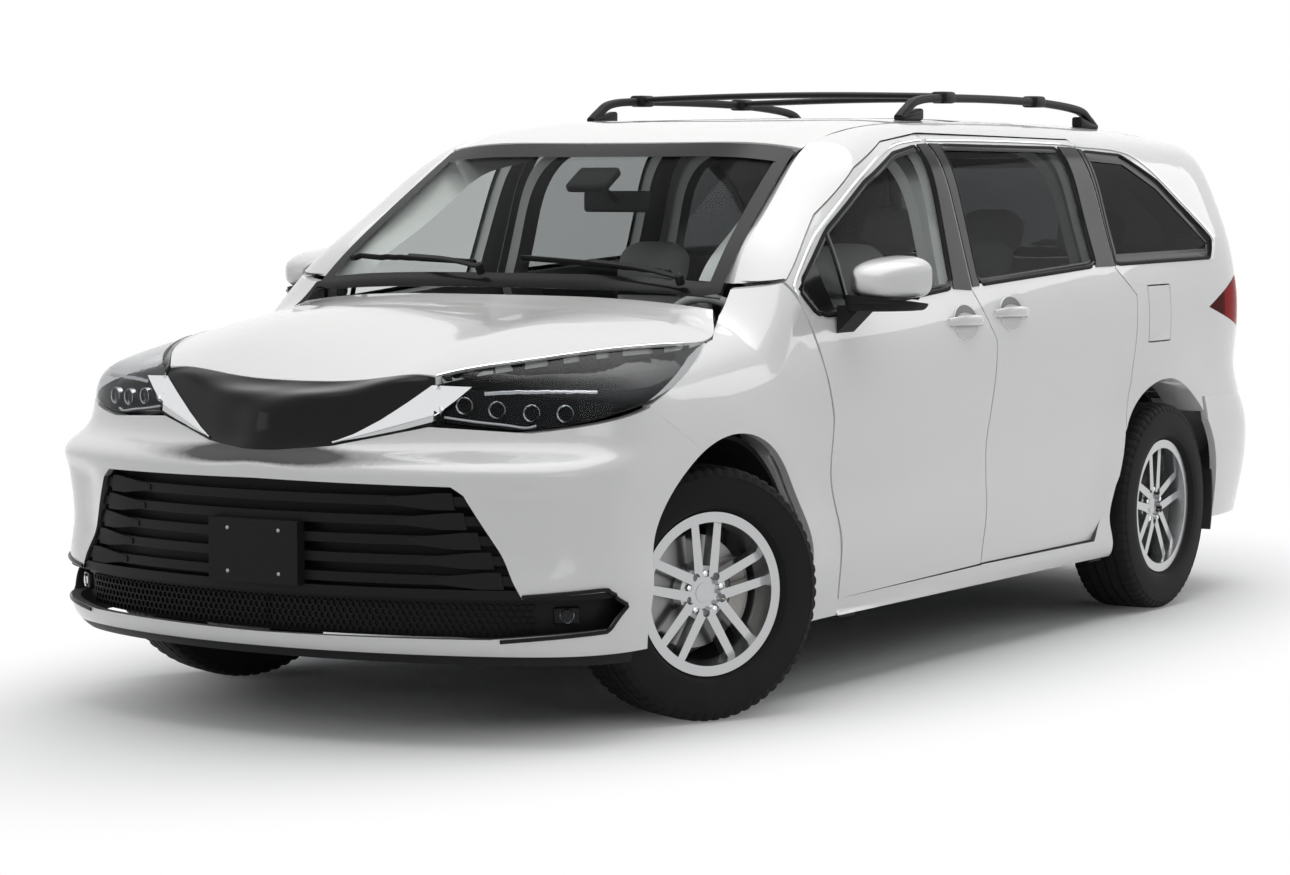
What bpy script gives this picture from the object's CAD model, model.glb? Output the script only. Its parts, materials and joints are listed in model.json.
# %% [markdown]
# # A white minivan, dressed for its picture
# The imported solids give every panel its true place. This file adds what a solid can't show: paint, glass,
# rubber, lamps and trim. Each step says what the real piece is, how it could be made, and why this way was
# chosen.

# %% Load the fixed frame
import json
import math
import bmesh
import bpy
from mathutils import Matrix, Vector
from mathutils.bvhtree import BVHTree


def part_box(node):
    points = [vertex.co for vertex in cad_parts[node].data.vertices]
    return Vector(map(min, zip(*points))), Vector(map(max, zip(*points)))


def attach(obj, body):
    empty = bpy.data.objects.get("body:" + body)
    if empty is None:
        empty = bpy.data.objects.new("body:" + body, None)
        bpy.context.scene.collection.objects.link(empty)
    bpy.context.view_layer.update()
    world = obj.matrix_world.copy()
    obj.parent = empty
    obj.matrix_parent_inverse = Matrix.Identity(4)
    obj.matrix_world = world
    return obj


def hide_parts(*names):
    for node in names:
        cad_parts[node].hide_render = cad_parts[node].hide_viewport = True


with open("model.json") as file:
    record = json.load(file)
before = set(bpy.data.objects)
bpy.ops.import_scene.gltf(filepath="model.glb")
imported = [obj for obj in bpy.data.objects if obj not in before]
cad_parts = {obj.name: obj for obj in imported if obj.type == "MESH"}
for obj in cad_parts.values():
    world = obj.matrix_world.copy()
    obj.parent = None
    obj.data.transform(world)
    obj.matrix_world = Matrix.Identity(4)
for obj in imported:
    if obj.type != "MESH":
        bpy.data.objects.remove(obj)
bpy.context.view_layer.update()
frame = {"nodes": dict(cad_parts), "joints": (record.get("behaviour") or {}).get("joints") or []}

# %% [markdown]
# ## The camera
# The photograph was taken from far off with a long lens, a little above bumper height, so the sides stay
# nearly parallel. A wide lens close by would fit the same outline but bulge the nose. The place and turn
# below were worked out from points whose real size is known, such as the wheels and the holes for the number
# plate.

# %% Camera
camera_place = (10.5878, 6.2404, 1.6011)
yaw_pitch_roll = (-148.2416, -4.3182, -0.1341)
sensor_mm, lens_mm, far_end = 36.0, 101.96, 200.0
camera_data = bpy.data.cameras.new("camera")
camera_data.sensor_width, camera_data.lens, camera_data.clip_end = sensor_mm, lens_mm, far_end
camera = bpy.data.objects.new("camera", camera_data)
bpy.context.scene.collection.objects.link(camera)
camera_yaw, camera_pitch, camera_roll = (math.radians(a) for a in yaw_pitch_roll)
aim = Vector((math.cos(camera_yaw) * math.cos(camera_pitch), math.sin(camera_yaw) * math.cos(camera_pitch),
              math.sin(camera_pitch)))
across = aim.cross(Vector((0, 0, 1))).normalized()
upward = across.cross(aim)
right_way = math.cos(camera_roll) * across + math.sin(camera_roll) * upward
up_way = -math.sin(camera_roll) * across + math.cos(camera_roll) * upward
camera.matrix_world = Matrix.Translation(camera_place) @ Matrix(
    (right_way, up_way, -aim)).transposed().to_4x4()
bpy.context.scene.camera = camera
print("camera at", [round(v, 2) for v in camera.location], "lens", camera_data.lens)

# %% [markdown]
# ## Floor, backdrop and light
# A studio for cars is one big soft ceiling light, a weaker light on each side and a white room. Reflections
# make the shape of a white body readable, so the lights are large sheets and not points. The floor is pale
# and keeps the shadow. What the camera, gloss and glass see of the room is plain white, and the light on the
# car stays as it is.

# %% Colour and look of the scene
scene = bpy.context.scene
scene.view_settings.view_transform = "Standard"
white_room = (1.0, 1.0, 1.0, 1.0)


def feed(net, node, inputs):
    """Link each input of a node to a socket, or set it to a value."""
    for label, value in inputs.items():
        if isinstance(value, bpy.types.NodeSocket):
            net.links.new(value, node.inputs[label])
        else:
            node.inputs[label].default_value = value


def add(net, kind, inputs=None, **settings):
    """A new shader node with its settings and its inputs."""
    node = net.nodes.new("ShaderNode" + kind)
    for label, value in settings.items():
        setattr(node, label, value)
    feed(net, node, inputs or {})
    return node


def math_of(net, operation, first, second):
    return add(net, "Math", {0: first, 1: second}, operation=operation).outputs[0]


def new_material(name):
    """An empty material, its node tree and its Principled shader."""
    material = bpy.data.materials.new(name)
    material.use_nodes = True
    return material, material.node_tree, material.node_tree.nodes["Principled BSDF"]


def object_place(net):
    """Coordinates in metres that stay with the piece."""
    return add(net, "TexCoord").outputs["Object"]


def blend(net, share, first, second):
    """A mix of two shaders."""
    return add(net, "MixShader", {0: share, 1: first.outputs[0], 2: second.outputs[0]})


def seen_by_eye(net):
    """1 where a ray comes from the camera, a gloss or a glass, and 0 for the light that falls on things."""
    path = add(net, "LightPath").outputs
    either = math_of(net, "MAXIMUM", path["Is Camera Ray"], path["Is Glossy Ray"])
    return math_of(net, "MAXIMUM", either, path["Is Transmission Ray"])


# %% World
room_light = 0.22
world = bpy.data.worlds.new("white_room")
world.use_nodes = True
scene.world = world
net = world.node_tree
seen = net.nodes["Background"]
feed(net, seen, {"Color": white_room, "Strength": 1.0})
lit = add(net, "Background", {"Color": (0.93, 0.96, 1.0, 1.0), "Strength": room_light})
feed(net, net.nodes["World Output"], {"Surface": blend(net, seen_by_eye(net), lit, seen).outputs[0]})


# %% Floor
def plain_mesh(name, points, faces):
    mesh = bpy.data.meshes.new(name)
    mesh.from_pydata([tuple(p) for p in points], [], faces)
    mesh.update()
    thing = bpy.data.objects.new(name, mesh)
    scene.collection.objects.link(thing)
    return thing


floor_reach = 60.0
floor = plain_mesh("floor", [(x * floor_reach, y * floor_reach, 0) for x,
                             y in ((-1, -1), (1, -1), (1, 1), (-1, 1))],
                   [(0, 1, 2, 3)])
floor_material, net, shader = new_material("pale_floor")
tone = add(net, "ValToRGB", {"Fac": add(net, "TexNoise", {"Scale": 0.6}).outputs["Fac"]})
for stop, level in zip(tone.color_ramp.elements, (0.90, 0.94)):
    stop.color = (level, level, level, 1)
feed(net, shader, {"Base Color": tone.outputs["Color"], "Roughness": 0.9, "Specular IOR Level": 0.1})
stretch = add(net, "VectorMath", {0: object_place(net), 1: (0.36, 0.80, 0.0)}, operation="MULTIPLY")
away = add(net, "VectorMath", {0: stretch.outputs["Vector"]}, operation="LENGTH")
far_off = add(net, "MapRange", {"From Min": 0.75, "From Max": 1.55, "Value": away.outputs["Value"]},
              interpolation_type="SMOOTHSTEP")
near_white = blend(net, far_off.outputs["Result"], shader, add(net, "Emission"))
feed(net, net.nodes["Material Output"], {"Surface": blend(net, seen_by_eye(net), shader,
                                                          near_white).outputs[0]})
floor.data.materials.append(floor_material)


# %% Lamps
def soft_light(name, place, target, size, watts):
    """A large sheet of light at a place, turned to a target."""
    data = bpy.data.lights.new(name, "AREA")
    data.shape = "RECTANGLE"
    data.size, data.size_y = size
    data.energy = watts
    lamp = bpy.data.objects.new(name, data)
    scene.collection.objects.link(lamp)
    lamp.location = place
    lamp.rotation_euler = (Vector(target) - Vector(place)).to_track_quat("-Z", "Y").to_euler()
    return lamp


soft_light("ceiling", (0.0, 0.5, 6.0), (0, 0, 0), (9.0, 5.0), 275)
soft_light("front_side", (7.0, 6.5, 3.8), (1.4, 0.2, 0.7), (4.5, 3.0), 55)
soft_light("nose_side", (8.0, -5.0, 3.0), (1.6, -0.2, 0.7), (3.5, 2.5), 40)
soft_light("tail_side", (-7.5, 4.5, 3.6), (-1.5, 0.2, 0.8), (4.0, 2.5), 48)
print("lights:", len(bpy.data.lights))

# %% [markdown]
# ## Effects that several finishes share
# Grain, dust and the faint flake of pearl paint are each one shader node group, made once and placed in each
# material with its own values. A group hands out only masks, colours and normals; the shader itself stays in
# the material.

# %% A maker of node groups
def node_group(name, inputs, normal=True):
    """A shader group with number inputs, which gives out a mask and may give a normal."""
    net = bpy.data.node_groups.new(name, "ShaderNodeTree")
    for label, value in inputs.items():
        net.interface.new_socket(name=label, in_out="INPUT",
                                 socket_type="NodeSocketFloat").default_value = value
    net.interface.new_socket(name="Mask", in_out="OUTPUT", socket_type="NodeSocketFloat")
    if normal:
        net.interface.new_socket(name="Normal", in_out="OUTPUT", socket_type="NodeSocketVector")
    return net, net.nodes.new("NodeGroupInput").outputs, net.nodes.new("NodeGroupOutput")


# %% Moulded grain: the fine pebbling of plastic and leather
grain, given, result = node_group("moulded_grain", {"Scale": 900.0, "Depth": 0.15, "Softness": 0.5})
cells = add(grain, "TexVoronoi", {"Vector": object_place(grain), "Scale": given["Scale"],
                                  "Smoothness": given["Softness"]}, feature="SMOOTH_F1").outputs["Distance"]
raised = add(grain, "Bump", {"Distance": 0.001, "Strength": given["Depth"], "Height": cells})
feed(grain, result, {"Mask": cells, "Normal": raised.outputs["Normal"]})

# %% Road dust: a faint film, thicker near the ground
dust, given, result = node_group("road_dust", {"Amount": 0.3, "Height": 0.5, "Scale": 14.0}, normal=False)
place = object_place(dust)
high = add(dust, "SeparateXYZ", {0: place}).outputs["Z"]
fall = add(dust, "MapRange", {"To Min": 1.0, "To Max": 0.0, "Value": high, "From Max": given["Height"]})
cloud = add(dust, "TexNoise", {"Detail": 6.0, "Vector": place, "Scale": given["Scale"]})
patchy = math_of(dust, "MULTIPLY", fall.outputs["Result"], cloud.outputs["Fac"])
feed(dust, result, {"Mask": math_of(dust, "MULTIPLY", patchy, given["Amount"])})

# %% Flake: the tiny mica plates of pearl paint and of silver lacquer
flake, given, result = node_group("paint_flake", {"Scale": 2500.0, "Depth": 0.02, "Waviness": 0.03})
place = object_place(flake)
plates = add(flake, "TexVoronoi", {"Vector": place, "Scale": given["Scale"]}).outputs["Distance"]
swell = add(flake, "TexNoise", {"Scale": 260.0, "Vector": place}).outputs["Fac"]
wave = add(flake, "Bump", {"Distance": 0.0006, "Strength": given["Waviness"],
                           "Height": swell}).outputs["Normal"]
tilt = add(flake, "Bump", {"Distance": 0.0005, "Strength": given["Depth"], "Height": plates, "Normal": wave})
feed(flake, result, {"Mask": plates, "Normal": tilt.outputs["Normal"]})
print("groups:", [g.name for g in bpy.data.node_groups])

# %% Inner side: 1 on the faces of a panel that look into the cabin
inner_side, given, result = node_group("inner_side", {"Height": 0.95, "Sharpness": 0.35}, normal=False)
lowered, limit = (math_of(inner_side, "MULTIPLY", given[label], -1.0) for label in ("Height", "Sharpness"))
drop = add(inner_side, "CombineXYZ", {"Z": lowered}).outputs[0]
centre = add(inner_side, "VectorMath", {0: object_place(inner_side), 1: (0.0, 1.0, 1.0), 2: drop},
             operation="MULTIPLY_ADD").outputs["Vector"]
outward = add(inner_side, "VectorMath", {0: centre}, operation="NORMALIZE").outputs["Vector"]
slope = add(inner_side, "TexCoord").outputs["Normal"]
agree = add(inner_side, "VectorMath", {0: outward, 1: slope}, operation="DOT_PRODUCT").outputs["Value"]
inward = add(inner_side, "MapRange", {"From Min": -0.15, "To Min": 0.0, "To Max": 1.0, "From Max": limit,
                                      "Value": agree})
feed(inner_side, result, {"Mask": inward.outputs["Result"]})


# %% Placing a group, and values between two values
def placed_group(net, tree, **values):
    return add(net, "Group", values, node_tree=tree).outputs


def colour_between(net, mask, low, high):
    """A colour that goes from low to high with a mask; each is a socket or three numbers."""
    low, high = (c if isinstance(c, bpy.types.NodeSocket) else (*c, 1) for c in (low, high))
    return add(net, "Mix", {"A": low, "B": high, "Factor": mask}, data_type="RGBA").outputs["Result"]


def value_between(net, mask, low, high):
    return add(net, "MapRange", {"To Min": low, "To Max": high, "Value": mask}).outputs["Result"]


# %% [markdown]
# ## Finishes
# Most finishes are the same few layers: a colour that varies a little, a roughness that varies with it, and
# a normal from a group. One function makes them from a short list of numbers, and the few odd ones, such as
# glass, follow.

# %% The common finish
dust_colour = (0.32, 0.30, 0.27)


def finish_of(name, low, high, rough, metal=0.0, coat=0.0, coat_rough=0.05, tree=grain, dusty=0.0,
              specular=0.5,
              lining=None, **values):
    """A finish between two colours and two roughnesses, with a group's surface, and dust near the ground."""
    material, net, shader = new_material(name)
    relief = placed_group(net, tree, **values)
    colour = colour_between(net, relief["Mask"], low, high)
    if dusty:
        colour = colour_between(net, placed_group(net, dust, Amount=dusty)["Mask"], colour, dust_colour)
    roughness = value_between(net, relief["Mask"], *rough)
    if lining:
        inside = placed_group(net, inner_side)["Mask"]
        colour = colour_between(net, inside, colour, lining)
        roughness = math_of(net, "MAXIMUM", roughness, value_between(net, inside, 0.0, 0.85))
        coat = value_between(net, inside, coat, 0.0)
    feed(net, shader, {"Base Color": colour, "Roughness": roughness, "Normal": relief["Normal"],
                       "Metallic": metal,
                       "Specular IOR Level": specular, "Coat Weight": coat, "Coat Roughness": coat_rough})
    return material


pearl_paint = finish_of("pearl_paint", (0.80, 0.80, 0.785), (0.84, 0.84, 0.82), (0.30, 0.36), coat=1.0,
                        coat_rough=0.02, tree=flake, dusty=0.04, lining=(0.11, 0.11, 0.108))
piano_black = finish_of("piano_black", (0.012, 0.012, 0.013), (0.016, 0.016, 0.017), (0.14, 0.20),
                        specular=0.12,
                        tree=flake, Depth=0.0, Waviness=0.02)
satin_black = finish_of("satin_black", (0.011, 0.011, 0.012), (0.017, 0.017, 0.018), (0.36, 0.46),
                        specular=0.10,
                        Scale=1500.0, Depth=0.08)
grained_black = finish_of("grained_black", (0.014, 0.014, 0.015), (0.024, 0.024, 0.025), (0.52, 0.66),
                          specular=0.10,
                          Scale=900.0, Depth=0.3, dusty=0.05)
cabin_plastic = finish_of("cabin_plastic", (0.024, 0.024, 0.025), (0.038, 0.038, 0.040), (0.55, 0.70),
                          specular=0.15,
                          Scale=700.0, Depth=0.3)
leather = finish_of("leather", (0.42, 0.42, 0.415), (0.50, 0.50, 0.49), (0.48, 0.62), Scale=420.0,
                    Depth=0.35)
bright_trim = finish_of("bright_trim", (0.70, 0.71, 0.72), (0.76, 0.77, 0.78), (0.08, 0.14), metal=1.0,
                        tree=flake,
                        Depth=0.0, Waviness=0.02)
silver_lacquer = finish_of("silver_lacquer", (0.44, 0.445, 0.45), (0.54, 0.545, 0.55), (0.20, 0.27),
                           metal=0.95,
                           coat=0.4, tree=flake, Depth=0.05, dusty=0.05)
cast_metal = finish_of("cast_metal", (0.30, 0.29, 0.28), (0.42, 0.41, 0.39), (0.45, 0.62), metal=0.9,
                       Scale=260.0,
                       Depth=0.5, dusty=0.3)
machined_steel = finish_of("machined_steel", (0.24, 0.24, 0.24), (0.33, 0.33, 0.33), (0.28, 0.38), metal=1.0,
                           tree=flake, Depth=0.1)
chassis_coat = finish_of("chassis_coat", (0.020, 0.020, 0.020), (0.038, 0.038, 0.038), (0.5, 0.7),
                         specular=0.2, Scale=320.0,
                         Depth=0.5, dusty=0.5)
alloy_block = finish_of("alloy_block", (0.34, 0.34, 0.34), (0.46, 0.46, 0.46), (0.4, 0.55), metal=0.9,
                        Scale=300.0,
                        Depth=0.4)
tyre_rubber = finish_of("tyre_rubber", (0.010, 0.010, 0.011), (0.018, 0.018, 0.019), (0.58, 0.75),
                        specular=0.12,
                        Scale=600.0, Depth=0.2, dusty=0.05)
soft_seal = finish_of("soft_seal", (0.009, 0.009, 0.009), (0.014, 0.014, 0.014), (0.5, 0.65), specular=0.08,
                      Scale=1500.0, Depth=0.15)
mirror_face = finish_of("mirror_face", (0.82, 0.83, 0.84), (0.84, 0.85, 0.86), (0.01, 0.02), metal=1.0,
                        tree=flake,
                        Depth=0.0, Waviness=0.0)
print("finishes:", len(bpy.data.materials))

# %% [markdown]
# ## Glass and lenses
# Window glass is a thin tinted sheet. A plain glass shader would keep all light out of the cabin, because
# its light paths are hard to find, so shadow rays pass through a tinted clear shader instead. A faint film
# of dust breaks the reflection a little, as on any real window.

# %% Glass
def glass_of(name, tint, rough=0.0, ior=1.06, rear_tint=None, rear_x=-1.02):
    """Clear or tinted glass that lets light into what is behind it; it may be darker behind a place along X."""
    material, net, shader = new_material(name)
    film = add(net, "TexNoise", {"Scale": 3.0, "Detail": 5.0, "Vector": object_place(net)}).outputs["Fac"]
    colour = colour_between(net, film, tint, [min(1.0, c * 1.06) for c in tint])
    if rear_tint:
        along = add(net, "SeparateXYZ", {0: object_place(net)}).outputs["X"]
        colour = colour_between(net, math_of(net, "LESS_THAN", along, rear_x), colour, rear_tint)
    feed(net, shader, {"Base Color": colour, "Roughness": value_between(net, film, rough, rough + 0.02),
                       "Transmission Weight": 1.0, "IOR": ior})
    clear = add(net, "BsdfTransparent", {"Color": (*tint, 1)})
    look = blend(net, add(net, "LightPath").outputs["Is Shadow Ray"], shader, clear)
    feed(net, net.nodes["Material Output"], {"Surface": look.outputs[0]})
    return material


window_glass = glass_of("window_glass", (0.60, 0.62, 0.615))
privacy_glass = glass_of("privacy_glass", (0.36, 0.37, 0.375), rear_tint=(0.055, 0.058, 0.06))
lamp_cover = glass_of("lamp_cover", (0.62, 0.63, 0.64), ior=1.12)
red_cover = glass_of("red_cover", (0.20, 0.005, 0.005), rough=0.04)

# %% Finishes of the solids that stay
node_finishes = {
    "pearl_paint": "body_sides roof_panel sliding_doors front_fenders front_bumper rear_bumper hood fuel_lid "
                   "front_door_left front_door_right tailgate door_mirror_left door_mirror_right",
    "satin_black": "front_grille front_lip roof_rack",
    "piano_black": "upper_front_panel",
    "grained_black": "cowl_panel front_wheelhouses",
    "window_glass": "windscreen front_door_glass_left front_door_glass_right",
    "privacy_glass": "side_glass tailgate_glass",
    "lamp_cover": "headlamps", "red_cover": "tail_lamps",
    "chassis_coat": "floor_pan front_suspension rear_axle underbody",
    "alloy_block": "engine_and_cooling",
    "cabin_plastic": "dashboard steering_wheel",
    "leather": "front_seats rear_seats",
    "cast_metal": "knuckle_left knuckle_right",
    "silver_lacquer": "front_rim_left front_rim_right rear_rim_left rear_rim_right",
    "tyre_rubber": "front_tyre_left front_tyre_right rear_tyre_left rear_tyre_right",
}
for label, names in node_finishes.items():
    for name in names.split():
        if name in frame["nodes"]:
            solid = frame["nodes"][name]
            solid.data.materials.clear()
            solid.data.materials.append(bpy.data.materials[label])
print("dressed:", sum(bool(n.data.materials) for n in frame["nodes"].values()), "solids")

# %% [markdown]
# ## Tools for shaping
# Nearly every added piece sits on a panel: a seal, a strip, a handle, a lamp. Rays are sent at the solids to
# find the place and the slope of the panel, so each piece follows the body by itself, also when the body
# changes. A piece on one side is made once and turned over for the other side.

# %% Search trees over the solids
painted = ("body_sides roof_panel sliding_doors front_fenders front_bumper rear_bumper hood front_door_left "
           "front_door_right tailgate fuel_lid upper_front_panel headlamps tail_lamps").split()
panes = "windscreen front_door_glass_left front_door_glass_right side_glass tailgate_glass".split()


def tree_of(names):
    """A search tree over the faces of some solids."""
    points, faces = [], []
    for name in names:
        if name not in frame["nodes"]:
            continue
        solid, start = frame["nodes"][name], len(points)
        points += [solid.matrix_world @ v.co for v in solid.data.vertices]
        faces += [[start + i for i in p.vertices] for p in solid.data.polygons]
    return BVHTree.FromPolygons(points, faces)


shell = tree_of(painted + panes)
side_way, front_way, rear_way, down_way = Vector((0, -1, 0)), Vector((-1, 0, 0)), Vector((1, 0,
        0)), Vector((0, 0, -1))


def cast(start, way, tree=shell, spread=0.006):
    """The outermost hit of five parallel rays, which steps over the gaps between panels, and its slope."""
    way = way.normalized()
    a = way.orthogonal().normalized()
    b = way.cross(a)
    best = None
    for offset in (Vector(), a * spread, -a * spread, b * spread, -b * spread):
        place, slope, _, far = tree.ray_cast(start + offset, way)
        if place is not None and (best is None or far < best[2]):
            best = (place - offset, slope, far)
    return (best[0], best[1] if best[1].dot(way) < 0 else -best[1]) if best else (None, None)


def from_side(x, z):
    return Vector((x, 1.4, z))


def from_front(y, z):
    return Vector((3.2, y, z))


def from_rear(y, z):
    return Vector((-3.2, y, z))


def from_above(x, y):
    return Vector((x, y, 2.4))


def casting(start_of, way, tree=shell, spread=0.006):
    """A place function: two flat values give the point and the slope that a ray meets."""
    def place(u, v):
        return cast(start_of(u, v), way, tree, spread)
    return place


on_side, on_nose = casting(from_side, side_way), casting(from_front, front_way)


def piece(name, points, faces, finish, body="body_shell", smooth=35.0):
    """A mesh object with a finish that moves with a body of the solids."""
    thing = plain_mesh(name, points, faces)
    shape = bmesh.new()
    shape.from_mesh(thing.data)
    bmesh.ops.remove_doubles(shape, verts=shape.verts, dist=1e-5)
    bmesh.ops.recalc_face_normals(shape, faces=shape.faces)
    shape.to_mesh(thing.data)
    shape.free()
    thing.data.materials.append(finish)
    if smooth:
        thing.data.shade_smooth()
        thing.data.set_sharp_from_angle(angle=math.radians(smooth))
    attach(thing, body)
    return thing


def both(name, points, faces, finish, body="body_shell", **more):
    """A piece on the left and its mirror image on the right, each on the body of its own side."""
    flipped = [Vector((p[0], -p[1], p[2])) for p in points]
    bodies = (body, body.replace("_left", "_right"))
    return (piece(name + "_left", points, faces, finish, bodies[0], **more),
            piece(name + "_right", flipped, [list(reversed(f)) for f in faces], finish, bodies[1], **more))


def joined(parts):
    """One list of points and faces from several."""
    points, faces = [], []
    for some_points, some_faces in parts:
        start = len(points)
        points += [Vector(p) for p in some_points]
        faces += [[start + i for i in f] for f in some_faces]
    return points, faces


def moved(shape, place):
    """A shape taken to a place."""
    return [place @ Vector(p) for p in shape[0]], shape[1]


def grid_faces(rows, columns, closed_rows=False, closed_columns=False):
    faces = []
    for i in range(rows if closed_rows else rows - 1):
        for j in range(columns if closed_columns else columns - 1):
            k, m = (i + 1) % rows, (j + 1) % columns
            faces.append([i * columns + j, i * columns + m, k * columns + m, k * columns + j])
    return faces


def tube_faces(rows, columns):
    """The faces of a tube that is closed at both ends."""
    ends = [list(range(columns - 1, -1, -1)), [(rows - 1) * columns + j for j in range(columns)]]
    return grid_faces(rows, columns, closed_columns=True) + ends


# %% Outlines, patches on the body, and swept strips
def smooth_path(points, count):
    """Evenly spaced points on a smooth curve through given ones."""
    points = [Vector(p) for p in points]
    ends = [2 * points[0] - points[1]] + points + [2 * points[-1] - points[-2]]
    fine = []
    for i in range(1, len(ends) - 2):
        p, q, r, s = ends[i - 1:i + 3]
        for step in range(12):
            t = step / 12
            fine.append(0.5 * ((2 * q) + (r - p) * t + (2 * p - 5 * q + 4 * r - s) * t * t
                               + (3 * q - p - 3 * r + s) * t ** 3))
    fine.append(points[-1])
    return even_path(fine, count)


def even_path(points, count, closed=False):
    """Points at even distances along straight stretches."""
    points = [Vector(p) for p in points]
    if closed:
        points = points + [points[0]]
    lengths = [(b - a).length for a, b in zip(points, points[1:])]
    total, out, i, done = sum(lengths), [], 0, 0.0
    for k in range(count):
        want = total * k / (count if closed else count - 1)
        while i < len(lengths) - 1 and done + lengths[i] < want:
            done += lengths[i]
            i += 1
        share = (want - done) / lengths[i] if lengths[i] else 0.0
        out.append(points[i].lerp(points[i + 1], min(1.0, max(0.0, share))))
    return out


def patch(outline, place, lift=0.0015, depth=0.004, cell=0.02):
    """A plate with a given outline laid on a surface: place(u, v) gives the point and the slope there."""
    shape = bmesh.new()
    shape.faces.new([shape.verts.new((u, v, 0)) for u, v in outline])
    low = [min(p[k] for p in outline) for k in (0, 1)]
    high = [max(p[k] for p in outline) for k in (0, 1)]
    for k in (0, 1):
        way = Vector((1, 0, 0)) if k == 0 else Vector((0, 1, 0))
        cuts = int((high[k] - low[k]) / cell)
        for i in range(1, cuts + 1):
            at = low[k] + (high[k] - low[k]) * i / (cuts + 1)
            bmesh.ops.bisect_plane(shape, geom=shape.verts[:] + shape.edges[:] + shape.faces[:], dist=1e-6,
                                   plane_co=way * at, plane_no=way)
    bmesh.ops.triangulate(shape, faces=[f for f in shape.faces if len(f.verts) > 4])
    shape.verts.ensure_lookup_table()
    shape.verts.index_update()
    top, under, good = [], [], []
    for v in shape.verts:
        spot, slope = place(v.co.x, v.co.y)
        good.append(spot is not None)
        spot, slope = (spot, slope) if spot is not None else (Vector((0, 0, 0)), Vector((0, 0, 1)))
        top.append(spot + slope * lift)
        under.append(spot - slope * depth)
    count = len(top)
    faces = [[v.index for v in f.verts] for f in shape.faces if all(good[v.index] for v in f.verts)]
    rims = []
    for e in shape.edges:
        if len(e.link_faces) == 1 and all(good[v.index] for v in e.verts):
            a, b = (v.index for v in e.verts)
            rims.append([a, b, b + count, a + count])
    shape.free()
    return top + under, faces + rims


def strip(path, slopes, profile, closed=False):
    """A profile (across, out) swept along a path that lies on a surface with given slopes."""
    count, rings = len(path), []
    for i, p in enumerate(path):
        ahead = path[(i + 1) % count] if closed or i < count - 1 else p
        behind = path[i - 1] if closed or i > 0 else p
        way = (ahead - behind).normalized()
        across = way.cross(slopes[i]).normalized()
        out = across.cross(way).normalized()
        rings += [p + across * u + out * v for u, v in profile]
    m = len(profile)
    return rings, grid_faces(count, m, True, True) if closed else tube_faces(count, m)


def laid(flat_points, place):
    """Points on a surface, and the slopes there, under points of the plane."""
    spots = [place(p[0], p[1]) for p in flat_points]
    known = [s for s in spots if s[0] is not None]
    return [s[0] for s in known], [s[1] for s in known]


def laid_strip(flat_points, place, profile, lift=0.0, closed=False):
    """A profile swept along a line on a surface, lifted off it."""
    path, slopes = laid(flat_points, place)
    return strip([p + s * lift for p, s in zip(path, slopes)], slopes, profile, closed)


def rounded_profile(width, height, sink=0.001, steps=3):
    """A low strip's section: flat below, a crowned top."""
    half, top = width / 2, []
    for i in range(steps + 1):
        angle = math.pi * i / steps
        top.append((half * math.cos(angle), height * (0.35 + 0.65 * math.sin(angle))))
    return [(half, -sink)] + top + [(-half, -sink)]


def turned(profile, steps=32, full=1.0):
    """A profile (radius, along) turned about the local Y axis."""
    points = []
    for i in range(steps):
        angle = 2 * math.pi * full * i / steps
        points += [Vector((r * math.cos(angle), y, r * math.sin(angle))) for r, y in profile]
    return points, grid_faces(steps, len(profile), closed_rows=True)


def box_piece(x0, x1, y0, y1, z0, z1, bevel=0.0):
    """A block with its edges rounded off."""
    shape = bmesh.new()
    bmesh.ops.create_cube(shape, size=1.0)
    for v in shape.verts:
        v.co = Vector((x0 + (v.co.x + 0.5) * (x1 - x0), y0 + (v.co.y + 0.5) * (y1 - y0),
                       z0 + (v.co.z + 0.5) * (z1 - z0)))
    if bevel:
        bmesh.ops.bevel(shape, geom=shape.edges[:], offset=bevel, segments=3, affect="EDGES", profile=0.5)
    shape.verts.index_update()
    out = [v.co.copy() for v in shape.verts], [[v.index for v in f.verts] for f in shape.faces]
    shape.free()
    return out


print("shell faces:", sum(len(frame["nodes"][n].data.polygons) for n in painted + panes
                          if n in frame["nodes"]))

# %% [markdown]
# ## Wheels and tyres
# A tyre is turned round its axle and then cut into blocks. Here one section is swept round in small steps,
# and every third step is drawn in at the shoulders, which leaves the cross grooves. Four round grooves are
# in the section itself. Modelling each block by hand would give the same look for ten times the work.

# %% Where each wheel stands
joint_of = {joint["name"]: joint for joint in frame["joints"]}
wheels = {}
for corner in ("front_wheel_left", "front_wheel_right", "rear_wheel_left", "rear_wheel_right"):
    joint = joint_of[corner + "_spin"]
    axle = Vector(joint["axis"]).normalized()
    if (axle.y > 0) != corner.endswith("left"):
        axle = -axle
    up = Vector((0, 0, 1))
    wheels[corner] = Matrix.Translation(Vector(joint["pos_m"])) @ Matrix((up.cross(-axle), axle,
            up)).transposed().to_4x4()
tyre_low, tyre_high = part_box("rear_tyre_left")
rim_low, rim_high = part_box("rear_rim_left")
tyre_radius, tyre_half = (tyre_high[2] - tyre_low[2]) / 2, (tyre_high[1] - tyre_low[1]) / 2
rim_radius, rim_half = (rim_high[2] - rim_low[2]) / 2, (rim_high[1] - rim_low[1]) / 2
print("tyre", round(tyre_radius, 4), round(tyre_half, 4), "rim", round(rim_radius, 4), round(rim_half, 4))


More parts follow.
